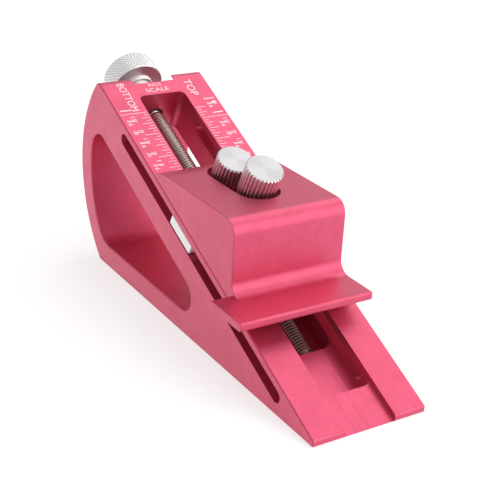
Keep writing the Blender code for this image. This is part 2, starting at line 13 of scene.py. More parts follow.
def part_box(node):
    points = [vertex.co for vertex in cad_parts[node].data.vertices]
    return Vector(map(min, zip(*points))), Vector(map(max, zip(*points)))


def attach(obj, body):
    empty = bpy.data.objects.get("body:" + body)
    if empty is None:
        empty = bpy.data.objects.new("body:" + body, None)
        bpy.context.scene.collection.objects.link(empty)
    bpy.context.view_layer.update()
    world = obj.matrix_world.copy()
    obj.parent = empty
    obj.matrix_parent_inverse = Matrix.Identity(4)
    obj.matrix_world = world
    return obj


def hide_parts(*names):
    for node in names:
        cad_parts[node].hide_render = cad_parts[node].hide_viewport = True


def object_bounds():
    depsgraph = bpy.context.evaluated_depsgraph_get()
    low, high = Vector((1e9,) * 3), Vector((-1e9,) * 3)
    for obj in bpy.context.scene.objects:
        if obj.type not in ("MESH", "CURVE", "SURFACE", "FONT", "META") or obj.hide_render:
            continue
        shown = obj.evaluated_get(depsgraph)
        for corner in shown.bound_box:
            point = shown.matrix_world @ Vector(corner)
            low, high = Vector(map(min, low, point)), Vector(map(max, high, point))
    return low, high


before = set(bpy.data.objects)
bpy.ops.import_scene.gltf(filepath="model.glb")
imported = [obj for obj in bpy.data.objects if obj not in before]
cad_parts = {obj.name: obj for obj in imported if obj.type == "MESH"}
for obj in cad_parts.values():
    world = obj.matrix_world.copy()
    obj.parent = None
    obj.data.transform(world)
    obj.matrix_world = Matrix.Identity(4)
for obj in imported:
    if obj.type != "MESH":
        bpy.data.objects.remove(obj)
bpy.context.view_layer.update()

# %% [markdown]
# The slope carries almost everything, so the lesson works in the slope's own frame: x across, y up the
# slope from the toe's top edge, z square to the slope. A matrix takes that frame to the world. Writing
# sizes in this frame keeps them as plain as on the drawing of the real part.

# %% Frames on the slope and along the lead screw
MM = 0.001
SLOPE = radians(25)
TOE_HEIGHT = 1.5 * MM
SCREW_DEPTH = 7.2 * MM
LOCK_ALONG = 55.5 * MM
RELEASE_ALONG = 65.5 * MM

toe_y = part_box("wedge_body")[0].y
DECK = Matrix.Translation((0, toe_y, TOE_HEIGHT)) @ Matrix.Rotation(SLOPE, 4, "X")
SCREW = DECK @ Matrix.Translation((0, 0, -SCREW_DEPTH)) @ Matrix.Rotation(radians(-90), 4, "X")
LOCK = DECK @ Matrix.Translation((0, LOCK_ALONG, 0))
RELEASE = DECK @ Matrix.Translation((0, RELEASE_ALONG, 0))
print("toe at y", round(toe_y, 5))

# %% [markdown]
# The camera comes first, because every later choice is judged through it. Its place and angles were
# worked out from the wedge's straight edges, and it looks down at about 24 degrees from the toe's left.

# %% Camera
CAMERA_SPOT = Vector((-0.12441, -0.19130, 0.12247))
CAMERA_TURN = radians(-33.1485)
CAMERA_HEIGHT_ANGLE = radians(24.3105)
CAMERA_ROLL = radians(3.1881)
LENS = 80.56

level_reach = cos(CAMERA_HEIGHT_ANGLE)
back = Vector((sin(CAMERA_TURN) * level_reach, -cos(CAMERA_TURN) * level_reach, sin(CAMERA_HEIGHT_ANGLE)))
right = Vector((cos(CAMERA_TURN), sin(CAMERA_TURN), 0))
up = back.cross(right)
rolled_right = right * cos(CAMERA_ROLL) + up * sin(CAMERA_ROLL)
rolled_up = up * cos(CAMERA_ROLL) - right * sin(CAMERA_ROLL)
camera_data = bpy.data.cameras.new("camera")
camera_data.lens = LENS
camera_data.clip_start = 1 * MM
camera = bpy.data.objects.new("camera", camera_data)
bpy.context.scene.collection.objects.link(camera)
camera.matrix_world = (Matrix.Translation(CAMERA_SPOT)
                       @ Matrix((rolled_right, rolled_up, back)).transposed().to_4x4())
bpy.context.scene.camera = camera
print("camera", [round(part, 3) for part in CAMERA_SPOT], "lens", LENS)

# %% [markdown]
# Satin metal shows mostly what it reflects, so the light is a room of soft panels. A wide one overhead is
# what the slope mirrors. One low at the front gives the carriage's round edges their highlights. The pale
# floor glows a little, which fills the upright faces and keeps the shadows faint.

# %% Floor, sky and soft panels
SKY = 0.66
FLOOR_SIZE = 3.0
LIT_SPOT = Vector((0, 0, 0.02))

scene = bpy.context.scene
scene.view_settings.view_transform = "Standard"
world = bpy.data.worlds.new("studio")
world.use_nodes = True
world.node_tree.nodes["Background"].inputs["Color"].default_value = (1.0, 1.0, 1.0, 1)
world.node_tree.nodes["Background"].inputs["Strength"].default_value = SKY
scene.world = world

floor_shape = bmesh.new()
bmesh.ops.create_grid(floor_shape, x_segments=1, y_segments=1, size=FLOOR_SIZE)
floor_mesh = bpy.data.meshes.new("floor")
floor_shape.to_mesh(floor_mesh)
floor_shape.free()
floor_object = bpy.data.objects.new("floor", floor_mesh)
floor_object.location = (0, 0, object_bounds()[0][2])
scene.collection.objects.link(floor_object)


def soft_panel(name, spot, size, power):
    """Square area light at a spot, turned to face the gauge."""
    data = bpy.data.lights.new(name, "AREA")
    data.size = size
    data.energy = power
    panel = bpy.data.objects.new(name, data)
    panel.location = spot
    panel.rotation_euler = (LIT_SPOT - Vector(spot)).to_track_quat("-Z", "Y").to_euler()
    scene.collection.objects.link(panel)
    print(name, "side", size, "power", power)


soft_panel("overhead_panel", (0.36, 0.12, 0.61), size=0.62, power=1.52)
soft_panel("front_panel", (0.37, -0.58, 0.32), size=0.78, power=2.9)

# %% [markdown]
# Every finish here is a few nodes before one Principled shader. Patterns read Object coordinates, which
# are metres on the gauge, so a noise of scale 1000 has a grain of about a millimetre. A picture would
# need a map on every piece and would blur close up. The helpers keep each material short.

# %% Material helpers


def new_material(name):
    """Node material, with what is needed to add nodes to its Principled shader."""
    material = bpy.data.materials.new(name)
    material.use_nodes = True
    nodes = material.node_tree.nodes
    return material, nodes, material.node_tree.links, nodes["Principled BSDF"]


def object_place(nodes, links, scale=(1, 1, 1)):
    """Object coordinates, scaled. Gives the socket that holds them."""
    spot = nodes.new("ShaderNodeTexCoord")
    mapping = nodes.new("ShaderNodeMapping")
    mapping.inputs["Scale"].default_value = scale
    links.new(spot.outputs["Object"], mapping.inputs["Vector"])
    return mapping.outputs["Vector"]


def noise_of(nodes, links, place, scale, detail=3.0):
    """Soft noise, as a value from 0 to 1."""
    noise = nodes.new("ShaderNodeTexNoise")
    noise.inputs["Scale"].default_value = scale
    noise.inputs["Detail"].default_value = detail
    links.new(place, noise.inputs["Vector"])
    return noise.outputs["Fac"]


def ranged(nodes, links, value, low, high):
    """Stretches a 0 to 1 value to a range."""
    span = nodes.new("ShaderNodeMapRange")
    span.inputs["To Min"].default_value = low
    span.inputs["To Max"].default_value = high
    links.new(value, span.inputs["Value"])
    return span.outputs["Result"]


def bumped(nodes, links, height, distance, strength=1.0, under=None):
    """Normals of a height pattern. under is a bump that this one lies on."""
    bump = nodes.new("ShaderNodeBump")
    bump.inputs["Distance"].default_value = distance
    bump.inputs["Strength"].default_value = strength
    links.new(height, bump.inputs["Height"])
    if under is not None:
        links.new(under, bump.inputs["Normal"])
    return bump.outputs["Normal"]


# %% [markdown]
# The floor is a plain pale sheet. A little noise in its roughness keeps it from looking like a void.

# %% Floor material
FLOOR_GREY = 0.52
FLOOR_GLOW = 0.60

floor_material, nodes, links, shader = new_material("pale_floor")
shader.inputs["Base Color"].default_value = (FLOOR_GREY, FLOOR_GREY, FLOOR_GREY, 1)
shader.inputs["Emission Color"].default_value = (1.0, 1.0, 1.0, 1)
shader.inputs["Emission Strength"].default_value = FLOOR_GLOW
links.new(ranged(nodes, links, noise_of(nodes, links, object_place(nodes, links), 40), 0.75, 0.85),
          shader.inputs["Roughness"])
floor_mesh.materials.append(floor_material)
print("floor", 2 * FLOOR_SIZE, "m wide, glow", FLOOR_GLOW)

# %% [markdown]
# The red is dye in the oxide layer of anodised aluminium, over a bead-blasted surface. The dye tints
# the metal's own reflection, so the shader is mostly metallic. A fine bump gives the blasted grain, and
# slower noise in colour and roughness gives the mottling of handled metal. The floor of the channel keeps
# the marks of the cutter, which ran along the slope: fine lines, and a small step between two passes. A
# wave texture of scale 1 turns by 20 radians to a metre, so the width of a pass gives its scale.

# %% Anodised aluminium
RED = (0.69, 0.083, 0.168)
DEEP_RED = (0.57, 0.056, 0.125)
MOTTLE = 240
MOTTLE_SHARE = 0.4
SPECKLE = 1900
SPECKLE_SHARE = 0.9
UNEVEN_GLOSS = 0.07
DYE_METAL = 0.8
COAT = 0.46
COAT_ROUGHNESS = 0.34
BLAST = 2700
BLAST_DEPTH = 0.03 * MM
CUTTER_LINES = (1600, 8, 8)
LINE_DEPTH = 0.012 * MM
PASS_WIDTH = 3.1 * MM
PASS_STEP = 0.045 * MM
PASS_EDGE = 0.86
WAVE_TURN = 20


def anodised(name, roughness, shade=1.0, milled=False):
    """Dyed and blasted aluminium. A milled one keeps the lines of the cutter. shade darkens it as painted
    shade.
    """
    material, nodes, links, shader = new_material(name)
    place = object_place(nodes, links)
    mottle = noise_of(nodes, links, place, MOTTLE, 5)
    grain = noise_of(nodes, links, place, SPECKLE, 2)
    speckle = nodes.new("ShaderNodeMath")
    speckle.operation = "MULTIPLY_ADD"
    speckle.inputs[1].default_value = SPECKLE_SHARE
    links.new(grain, speckle.inputs[0])
    links.new(ranged(nodes, links, mottle, -MOTTLE_SHARE, MOTTLE_SHARE), speckle.inputs[2])
    mix = nodes.new("ShaderNodeMix")
    mix.data_type = "RGBA"
    mix.inputs["A"].default_value = (*(shade * part for part in RED), 1)
    mix.inputs["B"].default_value = (*(shade * part for part in DEEP_RED), 1)
    links.new(speckle.outputs["Value"], mix.inputs["Factor"])
    links.new(mix.outputs["Result"], shader.inputs["Base Color"])
    gloss = ranged(nodes, links, mottle, roughness - UNEVEN_GLOSS, roughness + UNEVEN_GLOSS)
    links.new(gloss, shader.inputs["Roughness"])
    shader.inputs["Metallic"].default_value = DYE_METAL
    shader.inputs["Coat Weight"].default_value = COAT
    shader.inputs["Coat Roughness"].default_value = COAT_ROUGHNESS
    normal = bumped(nodes, links, noise_of(nodes, links, place, BLAST, 2), BLAST_DEPTH, 0.8)
    if milled:
        lines = noise_of(nodes, links, object_place(nodes, links, CUTTER_LINES), 1.0, 2)
        normal = bumped(nodes, links, lines, LINE_DEPTH, 1.0, normal)
        passes = nodes.new("ShaderNodeTexWave")
        passes.wave_profile = "SAW"
        passes.inputs["Scale"].default_value = 2 * pi / WAVE_TURN / PASS_WIDTH
        links.new(place, passes.inputs["Vector"])
        step = nodes.new("ShaderNodeMapRange")
        step.interpolation_type = "SMOOTHSTEP"
        step.inputs["From Min"].default_value = PASS_EDGE
        links.new(passes.outputs["Fac"], step.inputs["Value"])
        normal = bumped(nodes, links, step.outputs["Result"], PASS_STEP, 1.0, normal)
    links.new(normal, shader.inputs["Normal"])
    return material


red_satin = anodised("anodised_satin", 0.43)
red_milled = anodised("anodised_milled", 0.40, milled=True)
# A darker copy of the satin red, as painted shade for the carriage's cut edges.
red_painted_edge_shade = anodised("anodised_painted_edge_shade", 0.43, shade=0.75)
print("reds:", red_satin.name, red_milled.name, red_painted_edge_shade.name)

# %% [markdown]
# Bare metal parts differ in how they were cut. The plain ones, most of them inside, share an even fine
# grain and a slightly uneven gloss, which two noises give. They differ only in colour and in gloss.

# %% Bare metals
STEEL_GRAIN = 2500
STEEL_GRAIN_DEPTH = 0.004 * MM
STEEL_UNEVEN_GLOSS = 0.06


def steel_surface(nodes, links, shader, roughness, patches):
    """Fine even grain, and gloss that differs a little from patch to patch."""
    place = object_place(nodes, links)
    gloss = noise_of(nodes, links, place, patches)
    links.new(ranged(nodes, links, gloss, roughness - STEEL_UNEVEN_GLOSS, roughness + STEEL_UNEVEN_GLOSS),
              shader.inputs["Roughness"])
    grain = noise_of(nodes, links, place, STEEL_GRAIN, 2)
    links.new(bumped(nodes, links, grain, STEEL_GRAIN_DEPTH, 0.6), shader.inputs["Normal"])


def bare_metal(name, colour, roughness):
    """Plain metal."""
    material, nodes, links, shader = new_material(name)
    shader.inputs["Base Color"].default_value = (*colour, 1)
    shader.inputs["Metallic"].default_value = 1.0
    steel_surface(nodes, links, shader, roughness, 260)
    return material


ground_steel = bare_metal("ground_steel", (0.80, 0.80, 0.79), 0.42)
# Dark steel for the studs and set screw, and painted shade on the screw's bush.
dark_steel = bare_metal("dark_steel", (0.46, 0.415, 0.39), 0.38)
spring_steel = bare_metal("spring_steel", (0.42, 0.42, 0.44), 0.30)
bronze = bare_metal("bearing_bronze", (0.62, 0.42, 0.22), 0.36)
print("bare metals:", ground_steel.name, dark_steel.name, spring_steel.name, bronze.name)

# %% [markdown]
# A turned face has fine rings about its axis, and it stretches a highlight across them, which anisotropy
# gives. That needs a direction, so the turned meshes carry a map of angle and radius, and the rings are
# noise along the radius alone.

# %% Turned metals
RINGS_A_MM = 7.0
RING_DEPTH = 0.004 * MM


def turned_metal(name, colour, roughness, spread):
    """Metal cut on a lathe. Its map gives the angle and the radius in millimetres about the axis."""
    material, nodes, links, shader = new_material(name)
    shader.inputs["Base Color"].default_value = (*colour, 1)
    shader.inputs["Metallic"].default_value = 1.0
    shader.inputs["Roughness"].default_value = roughness
    shader.inputs["Anisotropic"].default_value = spread
    around = nodes.new("ShaderNodeTangent")
    around.direction_type = "UV_MAP"
    around.uv_map = "turning"
    links.new(around.outputs["Tangent"], shader.inputs["Tangent"])
    place = nodes.new("ShaderNodeUVMap")
    place.uv_map = "turning"
    split = nodes.new("ShaderNodeSeparateXYZ")
    links.new(place.outputs["UV"], split.inputs["Vector"])
    rings = nodes.new("ShaderNodeTexNoise")
    rings.noise_dimensions = "1D"
    rings.inputs["Scale"].default_value = RINGS_A_MM
    links.new(split.outputs["Y"], rings.inputs["W"])
    links.new(bumped(nodes, links, rings.outputs["Fac"], RING_DEPTH), shader.inputs["Normal"])
    return material


turned_steel = turned_metal("turned_steel", (0.48, 0.47, 0.48), 0.34, 0.85)
faced_steel = turned_metal("faced_steel", (0.92, 0.90, 0.91), 0.40, 0.9)
print("turned metals:", turned_steel.name, faced_steel.name)

# %% [markdown]
# Knurls and threads get a darker colour in their grooves, which is painted shade. Their meshes know how
# deep each point lies, so they hand that to the shader, which mixes two colours by it.

# %% Knurled metals


def ribbed_metal(name, colour, groove_shade_colour, roughness):
    """Metal with a second colour, painted shade, where the mesh's groove_shade value is high."""
    material, nodes, links, shader = new_material(name)
    shader.inputs["Metallic"].default_value = 1.0
    deep = nodes.new("ShaderNodeAttribute")
    deep.attribute_name = "groove_shade"
    mix = nodes.new("ShaderNodeMix")
    mix.data_type = "RGBA"
    mix.inputs["A"].default_value = (*colour, 1)
    mix.inputs["B"].default_value = (*groove_shade_colour, 1)
    links.new(deep.outputs["Fac"], mix.inputs["Factor"])
    links.new(mix.outputs["Result"], shader.inputs["Base Color"])
    steel_surface(nodes, links, shader, roughness, 300)
    return material


# The second colour of each is the painted shade in its grooves.
ribbed_steel = ribbed_metal("ribbed_steel", (0.88, 0.80, 0.80), (0.42, 0.31, 0.32), 0.36)
knurled_steel = ribbed_metal("knurled_steel", (0.99, 0.99, 0.99), (0.66, 0.65, 0.66), 0.42)
thread_steel = ribbed_metal("thread_steel", (0.84, 0.75, 0.71), (0.26, 0.20, 0.185), 0.34)
print("knurled metals:", ribbed_steel.name, knurled_steel.name, thread_steel.name)

# %% [markdown]
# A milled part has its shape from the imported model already, but its sharp edges look drawn. Its
# triangles are merged and flat ones joined, on a copy, and then the edges are rounded a little. One
# shared helper puts any finished bmesh in the world, so that each later cell stays short.

# %% Helpers for finished pieces
WELD = 0.002 * MM
FLAT = radians(0.5)
CRISP = radians(40)
CRISP_AREA = 12 * MM * MM


def put(shape, name, body, materials, stands_for, smooth=30):
    """Makes a piece of a bmesh that is in world coordinates, and lets it ride on a body."""
    mesh = bpy.data.meshes.new(name)
    shape.to_mesh(mesh)
    shape.free()
    for material in materials:
        mesh.materials.append(material)
    mesh.shade_smooth()
    mesh.set_sharp_from_angle(angle=radians(smooth))
    piece = bpy.data.objects.new(name, mesh)
    scene.collection.objects.link(piece)
    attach(piece, body)
    if stands_for:
        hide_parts(*stands_for)
    print(name, len(mesh.polygons), "faces")
    return piece


def join_flat(shape, near=WELD):
    """Merges points that are nearly in one place, and joins faces that lie flat to each other."""
    bmesh.ops.remove_doubles(shape, verts=shape.verts, dist=near)
    bmesh.ops.dissolve_limit(shape, angle_limit=FLAT, verts=shape.verts, edges=shape.edges, delimit=set())


def merged_copy(node):
    """The node's solid with its loose triangles merged and its flat faces whole."""
    shape = bmesh.new()
    shape.from_mesh(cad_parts[node].data)
    join_flat(shape)
    return shape


def sharp_edge(edge):
    """Crisp outer edges beside a face that isn't tiny."""
    if len(edge.link_faces) != 2 or not edge.is_convex or edge.calc_face_angle() < CRISP:
        return False
    return max(face.calc_area() for face in edge.link_faces) > CRISP_AREA


def break_edges(shape, width, keep_clear=True):
    """Rounds the crisp edges that a file or a cutter would leave a little blunt. Gives the new faces."""
    edges = [edge for edge in shape.edges if sharp_edge(edge)]
    return bmesh.ops.bevel(shape, geom=edges, affect="EDGES", offset=width, segments=2, profile=0.5,
                           material=-1, clamp_overlap=keep_clear)["faces"]


def map_turning(shape):
    """Map of a turned shape about z: the turn goes across and the radius in millimetres goes up."""
    layer = shape.loops.layers.uv.new("turning")
    for face in shape.faces:
        centre = face.calc_center_median()
        middle = Vector((centre.x, centre.y))
        for loop in face.loops:
            spot = Vector((loop.vert.co.x, loop.vert.co.y))
            turn = middle.angle_signed(spot, 0) if spot.length > WELD / 2 else 0
            turn = turn - middle.angle_signed(Vector((1, 0)), 0)
            loop[layer].uv = (turn / (2 * pi), spot.length / MM)


def even_shading(piece):
    """Lets the big flat faces set the shading where they run into a fillet."""
    weighted = piece.modifiers.new("even_shading", "WEIGHTED_NORMAL")
    weighted.keep_sharp = True


# %% [markdown]
# The wedge is one milled block. Faces that lie below the slope and face up are cutter floors, so they
# take the milled finish, and every other face keeps the blasted satin.

# %% Wedge body
FLOOR_DEPTH = 0.5 * MM
FACES_UP = 0.99
WEDGE_BREAK = 0.10 * MM

to_deck = DECK.inverted()
deck_turn = DECK.to_3x3()
deck_normal = (deck_turn @ Vector((0, 0, 1))).normalized()
wedge = merged_copy("wedge_body")
for face in wedge.faces:
    depth = (to_deck @ face.calc_center_median()).z
    if depth < -FLOOR_DEPTH and face.normal.dot(deck_normal) > FACES_UP:
        face.material_index = 1
break_edges(wedge, WEDGE_BREAK)
wedge_piece = put(wedge, "wedge_body_shell", "base", [red_satin, red_milled], ["wedge_body"])
even_shading(wedge_piece)

# %% [markdown]
# The carriage is sawn off a stepped bar. Its ends' broken edges show a thin dark line, and those thin faces
# get a deeper red as painted shade. The guide tongue under it is a plain block, and its top corner would
# stand a little proud of the curved rear. On the copy that corner goes down to the curve, the patch is split
# where the curve bends, and merging makes the curve whole again.

# %% Carriage
TONGUE_REAR = 72.6 * MM
TONGUE_TOP = 3.0 * MM
CURVE_AT_REAR = 1.903 * MM
CURVE_BEND = 72.147 * MM
NEAR = 0.05 * MM
CARRIAGE_BREAK = 0.15 * MM
FACES_ACROSS = 0.2
FACES_SIDE = 0.98

carriage = merged_copy("carriage")
proud = [vert for vert in carriage.verts
         if (to_deck @ vert.co - Vector((vert.co.x, TONGUE_REAR, TONGUE_TOP))).length < NEAR]
bmesh.ops.translate(carriage, verts=proud, vec=deck_turn @ Vector((0, 0, CURVE_AT_REAR - TONGUE_TOP)))
patch = [face for face in proud[0].link_faces if face in proud[1].link_faces]
outline = list({edge for face in patch for edge in face.edges})
bmesh.ops.bisect_plane(carriage, geom=patch + outline, plane_co=DECK @ Vector((0, CURVE_BEND, 0)),
                       plane_no=deck_turn @ Vector((0, 1, 0)))
join_flat(carriage, NEAR)
print("tongue corners brought down to the curve:", len(proud))
# The rounded faces at its ends get the deeper red, painted shade for the dark line along those edges.
for face in break_edges(carriage, CARRIAGE_BREAK, keep_clear=False):
    if FACES_ACROSS < abs(face.normal.x) < FACES_SIDE:
        face.material_index = 1
carriage_piece = put(carriage, "carriage_shell", "slider", [red_satin, red_painted_edge_shade], ["carriage"])
even_shading(carriage_piece)

# %% [markdown]
# A thread is its tooth profile swept round a helix. The profile of every tooth is drawn once, as one
# zigzag line along the axis, and spun a full turn while it rises by one pitch. Each tooth then meets the
# next one, so merging closes the surface. The ends are cut flat, capped and chamfered.

# %% Thread tools


def reach_of(vert):
    """How far a point is from the z axis."""
    return sqrt(vert.co.x ** 2 + vert.co.y ** 2)


def zigzag(shape, root, crest, pitch, low, high):
    """Line of 60 degree teeth with flat crests and roots."""
    count = int((high - low) / pitch) + 2
    steps = [(0.0, root), (0.12, root), (0.44, crest), (0.56, crest), (0.88, root)]
    verts = []
    for tooth in range(count):
        for part, radius in steps:
            verts.append(shape.verts.new((radius, 0, low + (tooth - 1 + part) * pitch)))
    for first, second in zip(verts, verts[1:]):
        shape.edges.new((first, second))


def cut_flat(shape, height, facing):
    """Cuts the shape square to the axis and closes the cut."""
    everything = list(shape.verts) + list(shape.edges) + list(shape.faces)
    cut = bmesh.ops.bisect_plane(shape, geom=everything, dist=1e-7, plane_co=(0, 0, height),
                                 plane_no=(0, 0, facing), clear_outer=True)
    ring = [item for item in cut["geom_cut"] if isinstance(item, bmesh.types.BMEdge)]
    bmesh.ops.edgeloop_fill(shape, edges=ring)


def thread(root, crest, pitch, low, high, chamfer, nose, around=28):
    """Threaded bar along z, chamfered at its low end and with a longer nose at its high end."""
    shape = bmesh.new()
    zigzag(shape, root, crest, pitch, low, high)
    bmesh.ops.spin(shape, geom=list(shape.verts) + list(shape.edges), axis=(0, 0, 1), angle=2 * pi,
                   dvec=(0, 0, pitch / around), steps=around)
    bmesh.ops.remove_doubles(shape, verts=shape.verts, dist=WELD)
    cut_flat(shape, high, 1)
    cut_flat(shape, low, -1)
    for vert in shape.verts:
        reach = reach_of(vert)
        at_low = crest - chamfer + (vert.co.z - low)
        at_high = crest - nose / 2 + (high - vert.co.z) / 2
        limit = min(at_low, at_high)
        if reach > limit > 0:
            vert.co.x *= limit / reach
            vert.co.y *= limit / reach
    # How deep each point lies in the thread, which darkens it as painted shade.
    groove_shade = shape.verts.layers.float.new("groove_shade")
    for vert in shape.verts:
        vert[groove_shade] = min(1.0, max(0.0, (crest - reach_of(vert)) / (crest - root)))
    bmesh.ops.recalc_face_normals(shape, faces=shape.faces)
    return shape


# %% [markdown]
# The lead screw is 4 mm thick with a fine pitch, so a whole turn of the knob moves the carriage by only
# 0.7 mm. Its low end is chamfered, and its high end tapers in a longer nose to the stem.

# %% Lead screw thread
PITCH = 0.7 * MM
SCREW_LOW = 22.3 * MM
SCREW_HIGH = 99.9 * MM
SCREW_CREST = 2.0 * MM
SCREW_ROOT = 1.57 * MM
CHAMFER = 0.45 * MM
NOSE = 1.2 * MM

screw_thread = thread(SCREW_ROOT, SCREW_CREST, PITCH, SCREW_LOW, SCREW_HIGH, CHAMFER, NOSE)
screw_thread.transform(SCREW)
put(screw_thread, "lead_screw_thread", "screw", [thread_steel], ["lead_screw"], smooth=50)

# %% [markdown]
# Beyond its thread the screw is plain: a stem runs through the bush and the knob, and a short tail ends
# it at the low end. Both are turned, so each is half an outline spun about the axis.

# %% Screw stem and tail


def spun(profile, around):
    """Turned solid about z from (radius, height) points, closed on itself or on the axis."""
    shape = bmesh.new()
    verts = [shape.verts.new((radius, 0, height)) for radius, height in profile]
    for first, second in zip(verts, verts[1:]):
        shape.edges.new((first, second))
    if profile[0][0] > 0:
        shape.edges.new((verts[-1], verts[0]))
    bmesh.ops.spin(shape, geom=list(shape.verts) + list(shape.edges), axis=(0, 0, 1), angle=2 * pi,
                   steps=around, use_merge=True)
    bmesh.ops.remove_doubles(shape, verts=shape.verts, dist=WELD)
    bmesh.ops.recalc_face_normals(shape, faces=shape.faces)
    return shape


STEM_RADIUS = 1.5 * MM
STEM_END = 115.4 * MM
TAIL_RADIUS = 1.25 * MM
TAIL_LENGTH = 4.0 * MM
SMALL_CHAMFER = 0.2 * MM


def plain_pin(radius, low, high):
    """Round bar along z with both ends chamfered."""
    cut = SMALL_CHAMFER
    return spun([(0, high), (radius - cut, high), (radius, high - cut), (radius, low + cut),
                 (radius - cut, low), (0, low)], 40)


stem = plain_pin(STEM_RADIUS, SCREW_HIGH, STEM_END)
stem.transform(SCREW)
put(stem, "screw_stem", "screw", [ground_steel], [])
tail = plain_pin(TAIL_RADIUS, SCREW_LOW - TAIL_LENGTH, SCREW_LOW)
tail.transform(SCREW)
put(tail, "screw_tail", "screw", [ground_steel], [])

# %% [markdown]
# The adjusting knob is turned: a dimple in its face, a band for the knurl, and a boss in two steps with
# rounded ends. Half its outline is worked out first, with many rows along the band, because the knurl
# can only move points that are there.

# %% Outline of the adjusting knob
KNOB_FACE = 110.9 * MM
KNOB_END = 116.4 * MM
KNOB_RADIUS = 6.98 * MM
KNURL_ROWS = 45
KNURL_MARGIN = 0.30 * MM
DIMPLE_FLOOR = 1.6 * MM
DIMPLE_RADIUS = 2.0 * MM
DIMPLE_DEPTH = 0.4 * MM
BOSS_RADIUS = 3.95 * MM
BOSS_START = 109.6 * MM
BOSS_ROUND = 0.35 * MM
HUB_RADIUS = 3.2 * MM
HUB_START = 108.4 * MM
HUB_ROUND = 0.3 * MM
BORE_RADIUS = STEM_RADIUS + 0.25 * MM
BORE_END = STEM_END + 0.2 * MM
RIM = 0.25 * MM
FOOT = 0.30 * MM
FOOT_HOLLOW = 0.08 * MM


def rounded_end(radius, height, edge, steps=4):
    """Quarter round from a turned part's side to its lower end."""
    angles = [pi / 2 * step / steps for step in range(steps + 1)]
    return [(radius - edge + edge * cos(a), height + edge - edge * sin(a)) for a in angles]


def knob_profile():
    """Half outline of the knob, from the middle of its face round to the end of its bore."""
    rim = KNOB_RADIUS - RIM
    low, high = KNOB_FACE + KNURL_MARGIN, KNOB_END - KNURL_MARGIN
    band = [(KNOB_RADIUS, high + (low - high) * row / KNURL_ROWS) for row in range(KNURL_ROWS + 1)]
    profile = [(0, KNOB_END - DIMPLE_DEPTH), (DIMPLE_FLOOR, KNOB_END - DIMPLE_DEPTH),
               (DIMPLE_RADIUS, KNOB_END), (rim, KNOB_END)]
    profile += band
    profile += [(rim, KNOB_FACE), (BOSS_RADIUS + FOOT, KNOB_FACE),
                (BOSS_RADIUS + FOOT_HOLLOW, KNOB_FACE - FOOT_HOLLOW), (BOSS_RADIUS, KNOB_FACE - FOOT)]
    profile += rounded_end(BOSS_RADIUS, BOSS_START, BOSS_ROUND)
    profile.append((HUB_RADIUS, BOSS_START))
    profile += rounded_end(HUB_RADIUS, HUB_START, HUB_ROUND)
    profile += [(BORE_RADIUS, HUB_START), (BORE_RADIUS, BORE_END), (0, BORE_END)]
    return profile


print("points in the knob's outline:", len(knob_profile()))

# %% [markdown]
# A diamond knurl is two sets of slanted grooves pressed into the band. Here each point of the band sinks
# by how far it is from the middle of a diamond. The count of diamonds round the knob is whole, so the
# pattern closes.

# %% Adjusting knob
KNURL_COUNT = 46
KNURL_DEPTH = 0.20 * MM
SPANS_A_DIAMOND = 6
KNURL_FLAT = 1.6
SKIN = 0.01 * MM


def ridge(value):
    """1 in the middle of each whole number, falling evenly to 0 halfway."""
    return 1 - 2 * abs(value - floor(value + 0.5))


def turn_of(vert, count):
    """Where a point lies round the z axis, in parts of a turn."""
    return Vector((1, 0)).angle_signed(Vector((vert.co.x, vert.co.y)), 0) / (2 * pi) * count


def sink(vert, depth):
    """Moves a point towards the z axis."""
    reach = reach_of(vert)
    vert.co.x *= 1 - depth / reach
    vert.co.y *= 1 - depth / reach


knob = spun(knob_profile(), KNURL_COUNT * SPANS_A_DIAMOND)
map_turning(knob)
# How deep each point lies in the knurl, which darkens it as painted shade.
groove_shade = knob.verts.layers.float.new("groove_shade")
diamond = 2 * pi * KNOB_RADIUS / KNURL_COUNT
for vert in knob.verts:
    if reach_of(vert) > KNOB_RADIUS - SKIN:
        turn = turn_of(vert, KNURL_COUNT)
        rise = vert.co.z / diamond
        sunk = 1 - min(1.0, KNURL_FLAT * min(ridge(turn + rise), ridge(turn - rise)))
        vert[groove_shade] = sunk
        sink(vert, KNURL_DEPTH * sunk)
for face in knob.faces:
    centre = face.calc_center_median()
    if sqrt(centre.x ** 2 + centre.y ** 2) < KNOB_RADIUS - RIM:
        face.material_index = 1
knob.transform(SCREW)
put(knob, "adjusting_knob", "screw", [knurled_steel, faced_steel], ["adjust_knob"], smooth=28)

# %% [markdown]
# The two small knobs have straight knurls. Round ribs stand between narrow grooves, and the turned top
# keeps a thin bright rim above them.

# %% Small knobs
SMALL_RADIUS = 4.25 * MM
SMALL_HEIGHT = 8.0 * MM
RIBS = 30
RIB_DEPTH = 0.30 * MM
RIB_WIDTH = 0.30
RIB_ROUND = 1.3
# GROOVE_SHADE strengthens the painted shade in the grooves between the ribs.
GROOVE_SHADE = 1.3
SPANS_A_RIB = 12
TOP_EDGE = 0.30 * MM
TOP_MARGIN = 0.5 * MM
BORE_DEPTH = 4.2 * MM


def top_of(node):
    """How far the node reaches above the slope."""
    return max((to_deck @ vert.co).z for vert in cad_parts[node].data.vertices)


